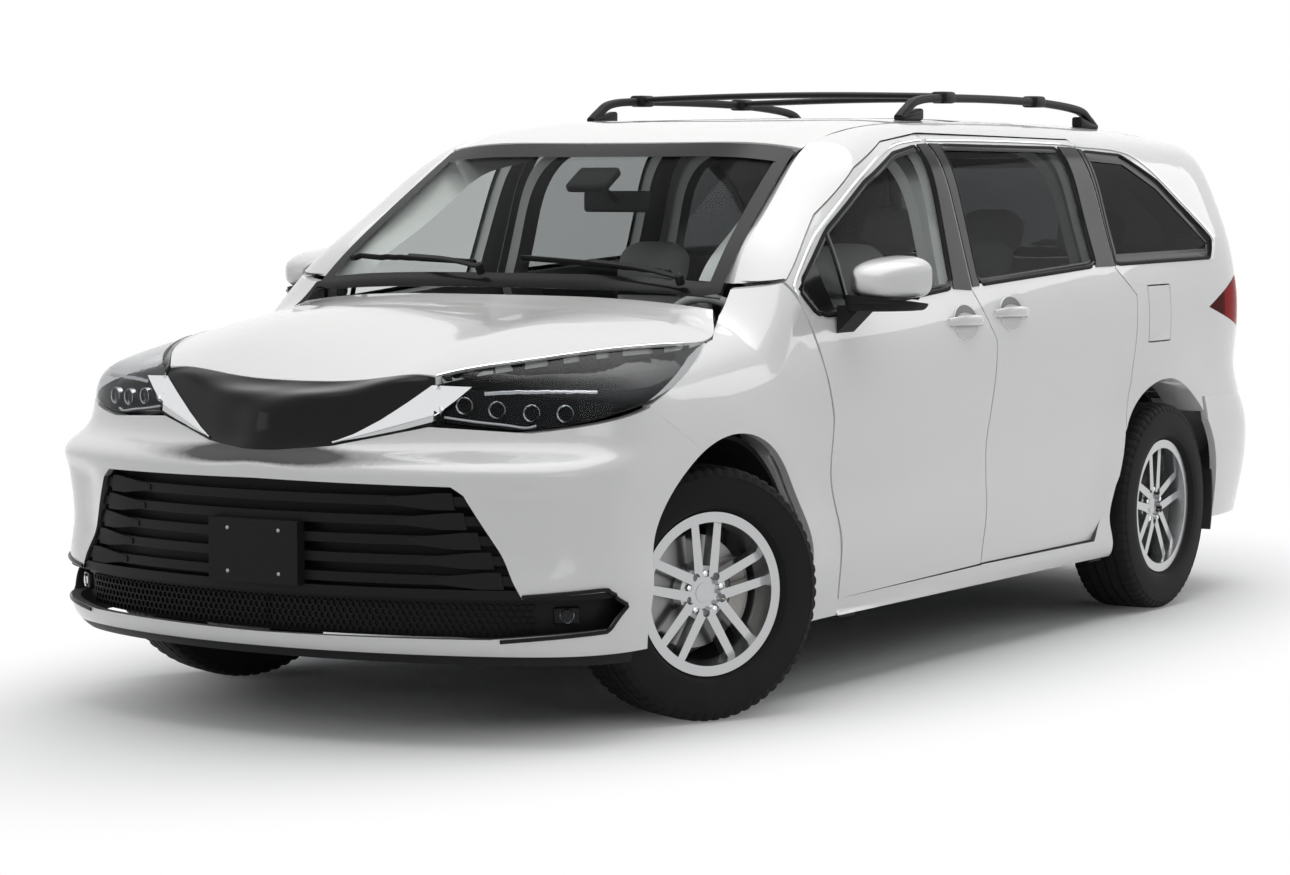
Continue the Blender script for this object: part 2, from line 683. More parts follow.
# %% A tyre's section, and the tyre
def tyre_section(cross_groove):
    """Half of the section from the bead to the middle of the tread; a cross groove cuts the shoulder."""
    groove, wide, outer, inner = 0.007, 0.0042, 0.060, 0.020
    drop = 0.006 if cross_groove else 0.0
    wall = rim_radius - 0.004
    return [(wall - 0.012, rim_half - 0.010), (wall + 0.006, rim_half - 0.006),
            (wall + 0.020, tyre_half * 0.955),
            (wall + 0.030, tyre_half * 0.975), (wall + 0.034, tyre_half * 0.985),
            (wall + 0.052, tyre_half * 0.996),
            (tyre_radius * 0.88, tyre_half * 0.975), (tyre_radius * 0.915, tyre_half * 0.955),
            (tyre_radius * 0.92, tyre_half * 0.968), (tyre_radius * 0.945 - drop,
                                                      tyre_half * 0.935 - drop / 2),
            (tyre_radius * 0.975 - drop, tyre_half * 0.885), (tyre_radius * 0.991 - drop, tyre_half * 0.80),
            (tyre_radius * 0.996 - drop, tyre_half * 0.70), (tyre_radius * 0.9975 - drop / 3, outer + wide),
            (tyre_radius * 0.9975 - groove, outer + wide * 0.8),
            (tyre_radius * 0.9975 - groove, outer - wide * 0.8),
            (tyre_radius * 0.999, outer - wide), (tyre_radius * 0.9995, inner + wide),
            (tyre_radius * 0.9995 - groove, inner + wide * 0.8),
            (tyre_radius * 0.9995 - groove, inner - wide * 0.8), (tyre_radius * 0.9998, inner - wide)]


def tyre_mesh(pitches=64, steps=3):
    points, count = [], pitches * steps
    for i in range(count):
        half = tyre_section(i % steps == 0)
        other = tyre_section((i + steps // 2 + 1) % steps == 0)
        angle = 2 * math.pi * i / count
        for r, y in half + [(r, -y) for r, y in reversed(other)]:
            points.append(Vector((r * math.cos(angle), y, r * math.sin(angle))))
    return points, grid_faces(count, 2 * len(tyre_section(False)), closed_rows=True)


points, faces = tyre_mesh()
for corner, place in wheels.items():
    tread = piece("tread_" + corner, *moved((points, faces), place), tyre_rubber, corner, smooth=28.0)
    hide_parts(corner.replace("wheel", "tyre"))
print("tyre faces:", len(faces))

# %% [markdown]
# ## Nuts, caps, discs and calipers
# Behind the spokes sits a brake disc with its caliper. The disc turns with the wheel, the caliper doesn't.
# The caps and nuts are turned profiles. The centre caps stay bare.

# %% Wheel furniture
def hexagon_nut(centre, out_y, radius=0.0105, height=0.022):
    """A capped nut, its axis along Y."""
    rings = [(radius, out_y - height), (radius, out_y - 0.006), (radius * 0.85, out_y - 0.002),
             (radius * 0.45, out_y)]
    points = [Vector((centre[0] + r * math.cos(math.pi * k / 3), y,
                      centre[1] + r * math.sin(math.pi * k / 3)))
              for r, y in rings for k in range(6)]
    return points, grid_faces(len(rings), 6, closed_columns=True) + [[len(points) - 6 + k for k in range(6)]]


rim_tree = tree_of(["rear_rim_left"])
rear_place = wheels["rear_wheel_left"]


def rim_face(x, z):
    """How far out the wheel's face is at a place on it, from the wheel's centre."""
    spot = rim_tree.ray_cast(rear_place @ Vector((x, 0.4, z)), Vector((0, -1, 0)))[0]
    return (rear_place.inverted() @ spot).y if spot else None


nut_circle = 0.0572
nut_centres = [(nut_circle * math.cos(a), nut_circle * math.sin(a)) for a in
               [math.radians(72 * k + 90) for k in range(5)]]
hub_out = rim_face(0.0, 0.012) or rim_half * 0.4
nut_out = min(v for v in (rim_face(*centre) for centre in nut_centres) if v is not None)
print("hub face", round(hub_out, 4), "nut seats", round(nut_out, 4))
cap_profile = [(0.0005, hub_out + 0.0045), (0.018, hub_out + 0.0040), (0.0285, hub_out + 0.0015),
               (0.0305, hub_out - 0.006)]
disc_profile = [(0.040, 0.028), (0.082, 0.028), (0.084, 0.014), (0.164, 0.014), (0.164, 0.004),
                (0.088, 0.004),
                (0.088, -0.008), (0.164, -0.008), (0.164, -0.018), (0.078, -0.018)]
disc = turned([(r, y - 0.012) for r, y in disc_profile], 64)
valve = turned([(0.0005, 0.030), (0.0035, 0.029), (0.0035, 0.006), (0.005, 0.0), (0.0005, -0.002)], 10)
valve_place = Matrix.Translation(Vector((0.0, rim_half * 0.62, -rim_radius * 0.905)))
nuts = joined([hexagon_nut(centre, nut_out + 0.014) for centre in nut_centres])
for corner, place in wheels.items():
    piece("cap_" + corner, *moved(turned(cap_profile, 40), place), silver_lacquer, corner)
    piece("nuts_" + corner, *moved(nuts, place), bright_trim, corner, smooth=20.0)
    piece("disc_" + corner, *moved(disc, place), machined_steel, corner)
    piece("valve_" + corner, *moved(valve, place @ valve_place), soft_seal, corner)

# %% Calipers: a bridge over the disc's rim, with a finger on each side
caliper_section = ((0.122, 0.012), (0.172, 0.016), (0.183, 0.0), (0.181, -0.045), (0.165, -0.062),
                   (0.122, -0.055),
                   (0.122, -0.034), (0.168, -0.034), (0.168, -0.001), (0.122, -0.001))


def caliper_mesh(rows=11, first_turn=150, turn_step=6.0):
    points = []
    for i in range(rows):
        angle, swell = math.radians(first_turn + turn_step * i), 1.0 - 0.02 * abs(i - 5) / 5
        points += [Vector((r * swell * math.cos(angle), y - 0.002, r * swell * math.sin(angle)))
                   for r, y in caliper_section]
    return points, tube_faces(rows, len(caliper_section))


for corner, place in wheels.items():
    carrier = corner.replace("front_wheel", "knuckle") if "front" in corner else "body_shell"
    turn = Matrix.Rotation(math.pi, 4, "Z") @ Matrix.Scale(-1, 4,
                                                           Vector((0, 1,
                                                                   0))) if "right" in corner else Matrix()
    piece("caliper_" + corner, *moved(caliper_mesh(), place @ turn), cast_metal, carrier, smooth=30.0)

# %% [markdown]
# ## Window surrounds
# Car glass is framed twice: a rubber seal against the body, and a black ceramic border baked on the pane
# that hides the glue. Both follow the pane's edge. That edge is found by walking outwards from a point
# inside the pane until a ray no longer meets it, so the frames fit whatever pane is there.

# %% The edge of a pane
def pane_edge(node, centre, start_of, way, count=96, step=0.02):
    """Flat points where a pane ends, seen along a direction from a point inside it."""
    tree = tree_of([node])

    def inside(r, angle):
        return tree.ray_cast(start_of(centre[0] + r * math.cos(angle), centre[1] + r * math.sin(angle)),
                             way)[0]

    edge = []
    for i in range(count):
        angle = 2 * math.pi * i / count
        r = step
        while inside(r, angle) is not None and r < 3:
            r += step
        low, high = r - step, r
        for _ in range(5):
            middle = (low + high) / 2
            low, high = (middle, high) if inside(middle, angle) is not None else (low, middle)
        edge.append(Vector((centre[0] + low * math.cos(angle), centre[1] + low * math.sin(angle), 0)))
    return edge


def moved_edge(edge, by):
    """The edge moved outwards by a distance, or inwards if it is negative."""
    out = []
    for i, p in enumerate(edge):
        way = (edge[(i + 1) % len(edge)] - edge[i - 1]).normalized()
        out.append(p + Vector((way.y, -way.x, 0)) * by)
    return out


def border(edge, place, width, lift=0.0012, rows=3, outside=0.002):
    """A flat ring on a surface, from just outside an edge to some way inside it."""
    points = []
    for k in range(rows + 1):
        for p in moved_edge(edge, outside - (outside + width) * k / rows):
            spot, slope = place(p.x, p.y)
            points.append(spot + slope * lift)
    return points, grid_faces(rows + 1, len(edge), closed_columns=True)


def seal(edge, place, width=0.012, height=0.0035, grow=0.004):
    """A rounded strip all round an edge."""
    return laid_strip(moved_edge(even_path(edge, 140, closed=True), grow), place,
                      rounded_profile(width, height),
                      closed=True)


edges = {}
for label, node, centre, body, width in (
        ("front", "front_door_glass_left", (0.55, 1.32), "front_door_left", 0.014),
        ("middle", "side_glass", (-0.45, 1.44), "body_shell", 0.014),
        ("quarter", "side_glass", (-1.35, 1.42), "body_shell", 0.03)):
    edges[label] = pane_edge(node, centre, from_side, side_way)
    both("seal_" + label, *seal(edges[label], on_side), soft_seal, body)
    both("border_" + label, *border(edges[label], on_side, width), piano_black, body)
pane_centre = (0.0, 1.42)
edges["screen"] = pane_edge("windscreen", pane_centre, from_front, front_way, count=160)
edges["rear"] = pane_edge("tailgate_glass", pane_centre, from_rear, rear_way, count=120)


def sure(place, centre, pull=0.004, tries=12):
    """A place function that steps towards a centre where the surface is missed."""
    def find(u, v):
        for k in range(tries):
            spot, slope = place(u + (centre[0] - u) * pull * k, v + (centre[1] - v) * pull * k)
            if spot is not None:
                return spot, slope
        return spot, slope
    return find


on_screen = sure(casting(from_front, front_way, tree_of(["windscreen"])), pane_centre)
on_rear_pane = sure(casting(from_rear, rear_way, tree_of(["tailgate_glass"])), pane_centre)
piece("screen_border", *border(edges["screen"], on_screen, 0.042, outside=0.0), piano_black)
piece("rear_border", *border(edges["rear"], on_rear_pane, 0.040, outside=0.0), piano_black, "tailgate")
print("pane edges:", {k: len(v) for k, v in edges.items()})


# %% Black pillars between the side windows
pillars = {
    "pillar_front_door": ("front_door_left", [(0.0445, 1.186), (0.163, 1.194), (0.111, 1.654),
                                              (0.0445, 1.657)]),
    "pillar_slider_front": ("body_shell", [(-0.0155, 1.198), (0.031, 1.196), (0.0325, 1.657),
                                           (-0.031, 1.656)]),
    "pillar_slider_rear": ("body_shell", [(-1.036, 1.236), (-0.8925, 1.236), (-0.874, 1.648),
                                          (-1.0045, 1.645)]),
    "pillar_quarter": ("body_shell", [(-1.0555, 1.240), (-1.0465, 1.236), (-1.0165, 1.642),
                                      (-1.045, 1.638)]),
    "mirror_sail": ("front_door_left", [(0.925, 1.150), (1.030, 1.142), (1.108, 1.216), (0.985, 1.302)]),
}
for name, (body, outline) in pillars.items():
    both(name, *patch(outline, on_side, lift=0.0022), piano_black, body)
bar = smooth_path([(0.868, 1.382, 0), (0.846, 1.27, 0), (0.836, 1.158, 0)], 12)
both("window_bar", *laid_strip(bar, on_side, rounded_profile(0.026, 0.003)), piano_black, "front_door_left")

# %% The bright line over the windows
arch = [(1.128, 1.205), (1.128, 1.238), (1.0, 1.333), (0.868, 1.410), (0.567, 1.553), (0.304, 1.642),
        (0.111, 1.6675),
        (-0.031, 1.670), (-0.46, 1.668), (-0.874, 1.661), (-1.045, 1.652), (-1.333, 1.637), (-1.48, 1.592),
        (-1.70, 1.460), (-1.898, 1.330), (-1.902, 1.290), (-1.872, 1.238)]
line = smooth_path([(x, z, 0) for x, z in arch], 220)
for label, body, low, high in (("door", "front_door_left", 0.042, 2.0),
                               ("slider", "body_shell", -1.012, 0.035),
                               ("quarter", "body_shell", -2.5, -1.018)):
    both("bright_line_" + label, *laid_strip([p for p in line if low < p.x < high], on_side,
                                             rounded_profile(0.0095, 0.0035)), bright_trim, body)

# %% [markdown]
# ## Headlamps
# A lamp is a dark bowl under a clear cover. Light that enters the cover must find something: lenses, bright
# rims, a strip. The cover is the solid's own outer skin made thin, so it sits flush with the wing, and the
# bowl is the same skin pushed inwards. A block of solid glass would look like ice.

# %% The outer skin of a solid, made thin or pushed in
def skin_of(node, facing):
    """Points, slopes and faces of a solid's skin that looks away from the body, on the left side."""
    solid = frame["nodes"][node]
    tree = tree_of([node])
    keep = []
    for face in solid.data.polygons:
        centre, slope = solid.matrix_world @ face.center, face.normal
        if centre.y < 0 or slope.dot(facing(centre)) < 0.30:
            continue
        if tree.ray_cast(centre + slope * 0.002, slope)[0] is None:
            keep.append([tuple(round(c, 5) for c in (solid.matrix_world @ solid.data.vertices[i].co))
                         for i in face.vertices])
    index, points, faces = {}, [], []
    for corners in keep:
        row = []
        for c in corners:
            if c not in index:
                index[c] = len(points)
                points.append(Vector(c))
            row.append(index[c])
        if len(set(row)) > 2:
            faces.append(row)
    slopes = [Vector() for _ in points]
    for row in faces:
        a, b, c = (points[i] for i in row[:3])
        way = (b - a).cross(c - a)
        for i in row:
            slopes[i] += way
    return points, [s.normalized() if s.length else Vector((1, 0, 0)) for s in slopes], faces


def shell_between(skin, outer, inner):
    """A closed shell from one depth under a skin to another."""
    points, slopes, faces = skin
    count = len(points)
    both_sides = [p - s * outer for p, s in zip(points, slopes)] + [p - s * inner for p,
            s in zip(points, slopes)]
    sides = {}
    for row in faces:
        for a, b in zip(row, row[1:] + row[:1]):
            sides[(a, b)] = sides.get((a, b), 0) + 1
    rims = [[b, a, a + count, b + count] for a, b in sides if (b, a) not in sides]
    return both_sides, faces + [[i + count for i in reversed(row)] for row in faces] + rims


def bowl_under(skin, depth, edge_depth):
    """An open bowl: the skin pushed in, with walls up to its edge."""
    points, slopes, faces = skin
    count = len(points)
    tip = max(p.x for p in points) - min(p.x for p in points)
    rear = min(p.x for p in points)
    low = [p - s * (edge_depth + (depth - edge_depth) * min(1.0, (p.x - rear) / (0.45 * tip))) for p, s in
           zip(points, slopes)]
    high = [p - s * edge_depth for p, s in zip(points, slopes)]
    sides = {(a, b) for row in faces for a, b in zip(row, row[1:] + row[:1])}
    walls = [[a, b, b + count, a + count] for a, b in sides if (b, a) not in sides]
    return low + high, faces + walls


def away_from_nose(centre):
    return (centre - Vector((1.5, 0.0, 0.75))).normalized()


lamp_skin = skin_of("headlamps", away_from_nose)
both("lamp_cover", *shell_between(lamp_skin, 0.0, 0.0025), lamp_cover)
bowls = both("lamp_bowl", *bowl_under(lamp_skin, 0.050, 0.0035), satin_black)
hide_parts("headlamps")
print("lamp skin:", len(lamp_skin[0]), "points")

# %% Lenses, bright rims and the light strip inside the lamp
lamp_tree = tree_of(["headlamps"])
on_lamp = casting(from_front, front_way, lamp_tree)
lens_glass = glass_of("lens_glass", (0.90, 0.93, 0.97))
strip_light, net, shader = new_material("strip_light")
cloud = add(net, "TexNoise", {"Scale": 60.0, "Vector": object_place(net)}).outputs["Fac"]
feed(net, shader, {"Base Color": colour_between(net, cloud, (0.78, 0.80, 0.82), (0.90, 0.91, 0.92)),
                   "Roughness": 0.25})


def dome(radius, height, steps=28, rings=6):
    return turned([(max(0.0003, radius * math.sin(math.pi / 2 * k / rings)),
                    height * math.cos(math.pi / 2 * k / rings))
                   for k in range(rings + 1)], steps)


def facing(spot, way):
    """A place whose local Y axis looks along a direction, kept upright."""
    ahead = way.normalized()
    side = ahead.cross(Vector((0, 0, 1))).normalized()
    return Matrix.Translation(spot) @ Matrix((side, ahead, side.cross(ahead))).transposed().to_4x4()


lamp_units = ((0.545, 0.932), (0.632, 0.921), (0.722, 0.913), (0.806, 0.912))
rim_profile = [(0.020, 0.0), (0.0235, 0.004), (0.0245, 0.003), (0.0255, -0.012), (0.0215, -0.014)]
ahead = Vector((1.0, 0.35, 0.0))
unit_places = [facing(on_lamp(y, z)[0] - ahead.normalized() * 0.034, ahead) for y, z in lamp_units]
both("lamp_bezels", *joined([moved(turned(rim_profile, 32), place) for place in unit_places]), bright_trim)
both("lamp_lenses", *joined([moved(dome(0.020, 0.012), place) for place in unit_places]), lens_glass)
low_line = [(0.500, 0.904, 0), (0.58, 0.893, 0), (0.66, 0.885, 0), (0.715, 0.878, 0), (0.742, 0.884, 0)]
top_line = [(0.60, 0.968, 0), (0.70, 0.977, 0), (0.80, 0.985, 0), (0.875, 0.985, 0)]
for label, points, count, depth, size, finish in (("strip", low_line, 40, 0.018, (0.007, 0.005),
                                                   strip_light),
                                                  ("brow", top_line, 30, 0.022, (0.010, 0.003),
                                                   bright_trim)):
    path, slopes = laid(smooth_path(points, count), on_lamp)
    path = [p - s * depth for p, s in zip(path, slopes)]
    both("lamp_" + label, *strip(path, slopes, rounded_profile(*size)), finish)

# %% [markdown]
# ## Bright wings and the line over the lamps
# The bright wings run from the lamps on to the dark panel and end in a point. They are thin plated plastic
# with a crease along the middle. A plate laid on the nose with rays gives the curve, and its outline is a
# short list of corners.

# %% Wings
wing_upper = [(0.213, 0.829), (0.268, 0.853), (0.335, 0.893), (0.405, 0.943), (0.464, 0.9885),
              (0.570, 0.985),
              (0.530, 0.948), (0.487, 0.912)]
wing_lower = [(0.213, 0.829), (0.487, 0.912), (0.474, 0.889), (0.40, 0.868), (0.30, 0.8455)]
both("bright_wing", *patch(wing_upper, on_nose, lift=0.0030, depth=0.003, cell=0.012), bright_trim)
both("bright_wing_low", *patch(wing_lower, on_nose, lift=0.0022, depth=0.003, cell=0.012), silver_lacquer)
crease = even_path([(0.215, 0.8295, 0), (0.487, 0.912, 0)], 24)
both("wing_crease", *laid_strip(crease, on_nose, rounded_profile(0.006, 0.0048)), bright_trim)
brow = [(2.348, 0.482), (2.29, 0.532), (2.225, 0.582), (2.150, 0.632), (2.05, 0.690), (1.951, 0.748),
        (1.85, 0.795),
        (1.749, 0.835), (1.66, 0.862)]
on_hood = casting(from_above, down_way, tree_of(["hood"]), 0.0)


def hood_edge(x, y, outside=0.030, step=0.003, finest=0.0005, tries=34):
    """The outer edge of the hood near a place, found by stepping towards the middle."""
    best, at = (None, None), y + outside
    for _ in range(tries):
        spot, slope = on_hood(x, at)
        if spot is not None:
            best = spot, slope
            if step < finest:
                break
            at, step = at + step, step / 2
        at -= step
    return best


path, slopes = laid(smooth_path([(x, y, 0) for x, y in brow], 60), hood_edge)
for _ in range(4):
    path = [path[0]] + [(a + b * 2 + c) / 4 for a, b, c in zip(path, path[1:], path[2:])] + [path[-1]]
    slopes = [slopes[0]] + [(a + b + c).normalized() for a, b,
                            c in zip(slopes, slopes[1:], slopes[2:])] + [slopes[-1]]
path = [p + s * 0.0005 + Vector((0, -0.005, 0)) for p, s in zip(path, slopes)]
both("lamp_line", *strip(path, slopes, rounded_profile(0.010, 0.003, sink=0.004)), bright_trim, "hood")
path, slopes = laid([(p.x, p.y + 0.017) for p in path[2:-3]], casting(from_above, down_way, lamp_tree))
path = [p - s * 0.0045 for p, s in zip(path, slopes)]
both("lamp_mask", *strip(path, slopes, rounded_profile(0.034, 0.001, sink=0.0005)), satin_black)

# %% [markdown]
# ## Grille, lower mesh and corner lamps
# The slats widen to blades at both ends, like the gills of a fish. Below them is a sheet of hexagons. Both
# are laid on the grille's own slats and carrier, so that they follow the curve of the nose.

# %% Blades at the ends of the slats
slat_height = 0.026
on_grille = casting(from_front, front_way, tree_of(["front_grille"]), 0.002)


def slat_place(middle):
    """A place function that stands upright on the front of one slat."""
    def place(y, z):
        spot, slope = on_grille(y, middle)
        return (None, None) if spot is None else (Vector((spot.x, spot.y, z)), slope)
    return place


blades = []
for low, outer in ((0.452, 0.735), (0.506, 0.705), (0.560, 0.672), (0.614, 0.640), (0.668, 0.612)):
    middle = low + slat_height / 2
    outline = [(outer - 0.20, middle - 0.009), (outer - 0.075, low - 0.010), (outer - 0.012, low - 0.010),
               (outer - 0.020, low + 0.036), (outer - 0.055, low + 0.036), (outer - 0.20, middle + 0.008)]
    blades.append(patch(outline, slat_place(middle), lift=0.003, depth=0.006, cell=0.02))
both("grille_blades", *joined(blades), grained_black)


# %% Hexagon mesh in the lower opening
def hexagon_sheet(y_low, y_high, z_low, z_high, place, cell=0.0115, wall=0.0022, depth=0.006):
    parts, row = [], 0
    z = z_low
    while z < z_high:
        y = y_low + (cell * 0.87 if row % 2 else 0.0)
        while y < y_high:
            spot, slope = place(y, z)
            if spot is not None and slope.x > 0.25:
                across = Vector((0, 0, 1)).cross(slope).normalized()
                upward = slope.cross(across)
                rings = []
                for r, out in ((cell, 0.0), (cell, depth), (cell - wall, depth), (cell - wall, 0.0)):
                    for k in range(6):
                        a = math.radians(60 * k + 30)
                        rings.append(spot + across * (r * math.cos(a)) + upward * (r * math.sin(a)) + slope
                                     * out)
                parts.append((rings, grid_faces(4, 6, closed_columns=True)))
            y += cell * 1.74
        z += cell * 1.5
        row += 1
    return joined(parts)


both("lower_mesh", *hexagon_sheet(0.006, 0.775, 0.318, 0.398, on_grille), satin_black, smooth=0)

# %% Corner lamps and the rims of the openings
ahead = Vector((0.80, 0.60, 0.0))
place = facing(on_grille(0.842, 0.366)[0] + ahead.normalized() * 0.004, ahead)
case = box_piece(-0.036, 0.036, -0.03, 0.010, -0.024, 0.024, bevel=0.006)
frame_ring = turned([(0.0165, 0.011), (0.0185, 0.0135), (0.0205, 0.011), (0.0205, 0.004), (0.0165, 0.004)],
                    32)
both("corner_lamp_case", *moved(case, place), piano_black)
both("corner_lamp_rim", *moved(frame_ring, place), bright_trim)
both("corner_lamp_lens", *moved(dome(0.017, 0.005), place @ Matrix.Translation((0, 0.0085, 0))), lens_glass)
fog_rim = [(0.752, 0.4215), (0.950, 0.4395), (0.974, 0.392), (0.946, 0.3225), (0.72, 0.3005)]
both("corner_rim", *laid_strip(even_path([(y, z, 0) for y, z in fog_rim], 70), on_nose,
                               rounded_profile(0.011, 0.004)),
     piano_black)
holder_x, holder_z, hole_y, hole_z = 2.579, 0.526, 0.089, 0.0605
screws = [moved(dome(0.0058, 0.0024, 16, 3), facing(Vector((holder_x, y, z)), rear_way))
          for y in (-hole_y, hole_y) for z in (holder_z - hole_z, holder_z + hole_z)]
piece("plate_screws", *joined(screws), machined_steel)

# %% [markdown]
# ## Door mirrors
# A mirror is a painted cap over a black tray on a black foot. The solid already has the whole form, so it is
# cut in two with a plane, and each half gets its own finish. The glass is a thin plate on the flat back.

# %% Cutting a copy of a solid with a plane
def half_of(node, at, way):
    """The part of a solid on the side that the plane's normal points away from, closed at the cut."""
    solid = frame["nodes"][node]
    shape = bmesh.new()
    shape.from_mesh(solid.data)
    bmesh.ops.transform(shape, matrix=solid.matrix_world, verts=shape.verts)
    bmesh.ops.remove_doubles(shape, verts=shape.verts, dist=2e-5)
    done = bmesh.ops.bisect_plane(shape, geom=shape.verts[:] + shape.edges[:] + shape.faces[:], dist=1e-6,
                                  plane_co=at, plane_no=way, clear_outer=True)
    cut = [e for e in done["geom_cut"] if isinstance(e, bmesh.types.BMEdge)]
    bmesh.ops.holes_fill(shape, edges=cut, sides=0)
    shape.verts.index_update()
    out = [v.co.copy() for v in shape.verts], [[v.index for v in f.verts] for f in shape.faces]
    shape.free()
    return out


mirror_low, mirror_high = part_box("door_mirror_left")


def domed_cap(sign, rings=22, steps=48):
    """The painted cap: a flat back with round corners that closes in a dome and slopes to its outer end."""
    inner_end, height, squareness, closing = 0.978, 0.130, 0.62, 0.40
    centre_y, half_y = (inner_end + mirror_high[1]) / 2, (mirror_high[1] - inner_end) / 2
    centre_z, half_z = mirror_high[2] - height / 2, height / 2
    points = []
    for i in range(rings):
        t = 0.985 * i / (rings - 1)
        scale = (1 - t ** 2.6) ** closing
        for k in range(steps):
            a = 2 * math.pi * k / steps
            u = math.copysign(abs(math.cos(a)) ** squareness, math.cos(a))
            v = math.copysign(abs(math.sin(a)) ** squareness, math.sin(a))
            y = centre_y + half_y * u * scale - 0.020 * t
            fall = 0.16 * max(0.0, u) ** 1.6 * max(0.0, v)
            z = centre_z - 0.012 * t + half_z * (v * scale if v < 0 else v * scale * (1 - fall))
            x = mirror_low[0] + 0.004 + (mirror_high[0] - mirror_low[0] - 0.012) * t
            points.append(Vector((x, sign * y, max(z, cap_line + 0.002))))
    faces = grid_faces(rings, steps, closed_columns=True)
    return points, faces + [list(range(steps)), [(rings - 1) * steps + k for k in reversed(range(steps))]]


head_height, tray_height = 0.164, 0.036
head_low = mirror_high[2] - head_height
cap_line = head_low + tray_height
tilt = Vector((0.10, -0.06, -1.0)).normalized()
for side, sign in (("left", 1), ("right", -1)):
    node, body = "door_mirror_" + side, "front_door_" + side
    way = Vector((tilt.x, tilt.y * sign, tilt.z))
    middle = Vector(((mirror_low[0] + mirror_high[0]) / 2, sign * (mirror_low[1] + mirror_high[1]) / 2,
                     cap_line))
    cap = piece("mirror_cap_" + side, *domed_cap(sign), pearl_paint, body, smooth=60.0)
    piece("mirror_tray_" + side, *half_of(node, middle, -way), grained_black, body, smooth=40.0)
    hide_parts(node)
mirror_tree = tree_of(["door_mirror_left"])
on_mirror_back = casting(lambda y, z: Vector((-1.0, y, z)), rear_way, mirror_tree)
on_mirror_front = casting(lambda y, z: Vector((3.0, y, z)), front_way, mirror_tree)
inner_y, outer_y = 0.975 + 0.028, mirror_high[1] - 0.030
face = [(inner_y, head_low + 0.038), (outer_y - 0.018, head_low + 0.030), (outer_y, head_low + 0.052),
        (outer_y, mirror_high[2] - 0.056), (outer_y - 0.026, mirror_high[2] - 0.032),
        (inner_y + 0.02, mirror_high[2] - 0.030), (inner_y, mirror_high[2] - 0.046)]
both("mirror_glass", *patch(face, on_mirror_back, lift=0.0018, depth=0.001, cell=0.05), mirror_face,
     "front_door_left")
signal_line = [(1.02 + (mirror_high[1] - 0.024 - 1.02) * k / 15, cap_line - 0.010) for k in range(16)]
both("mirror_signal", *laid_strip(signal_line, on_mirror_front, rounded_profile(0.007, 0.002)), piano_black,
     "front_door_left")
print("mirrors at", [round(v, 3) for v in mirror_low], [round(v, 3) for v in mirror_high])

# %% [markdown]
# ## Door handles
# Each handle is a bowed grip that bridges a shallow cup. The grip is an oval section swept along a low arch,
# thicker at its ends where it meets the door.

# %% Handles
circle = [2 * math.pi * k / 40 for k in range(40)]


def ellipse(u, v, half_u, half_v, angles=circle):
    return [(u + half_u * math.cos(a), v + half_v * math.sin(a)) for a in angles]


def oval(width, height, steps=12):
    return ellipse(0, 0, width / 2, height / 2, [2 * math.pi * k / steps for k in range(steps)])


def handle_mesh(x, z, length=0.225, rise=0.036, count=29):
    """The grip: an oval that is thicker at its ends, swept along an arch over the door."""
    slope, rings = on_side(x, z)[1], []
    for i in range(count):
        t = 2 * i / (count - 1) - 1
        spot, _ = on_side(x + t * length / 2, z + 0.004 * t)
        lift = rise * (1 - abs(t) ** 3.2) - 0.004
        for u, v in oval(0.024 + 0.010 * (1 - t * t), 0.010 + 0.010 * abs(t) ** 2.5):
            rings.append(spot + Vector((0, 0, 1)) * (u + 0.002 * (1 - t * t)) + slope * (lift + v))
    return rings, tube_faces(count, 12)


cup_u, cup_v = 0.078, 0.054
cup_shade = finish_of("cup_shade", (0.60, 0.60, 0.59), (0.66, 0.66, 0.65), (0.30, 0.38), coat=0.8,
                      tree=flake)
cup_dark = finish_of("cup_dark", (0.22, 0.22, 0.218), (0.28, 0.28, 0.278), (0.40, 0.48), tree=flake)
for label, x, z, body in (("front", 0.122, 1.087, "front_door_left"),
                          ("slider", -0.204, 1.103, "body_shell")):
    both("handle_" + label, *handle_mesh(x, z), pearl_paint, body, smooth=50.0)
    both("handle_rim_" + label, *laid_strip(ellipse(x, z, cup_u + 0.002, cup_v + 0.002), on_side,
                                            rounded_profile(0.006, 0.0034),
                                            closed=True), pearl_paint, body)
    shadow = ellipse(x, z, cup_u, cup_v, circle[1:20]) + ellipse(x, z, 0.070, 0.030, circle[18:1:-1])
    both("handle_cup_" + label, *patch(ellipse(x, z, cup_u, cup_v), on_side, lift=0.0016, depth=0.001,
                                       cell=0.012),
         cup_shade, body)
    both("handle_shadow_" + label, *patch(shadow, on_side, lift=0.0022, depth=0.001, cell=0.012), cup_dark,
         body)

# %% [markdown]
# ## Wipers, washer jets and the pod behind the inner mirror
# Wipers rest low on the glass, just over the cowl. A blade is a rubber lip in a slim spine, carried by an
# arm that rises from the cowl. Paths on the glass keep them touching it.

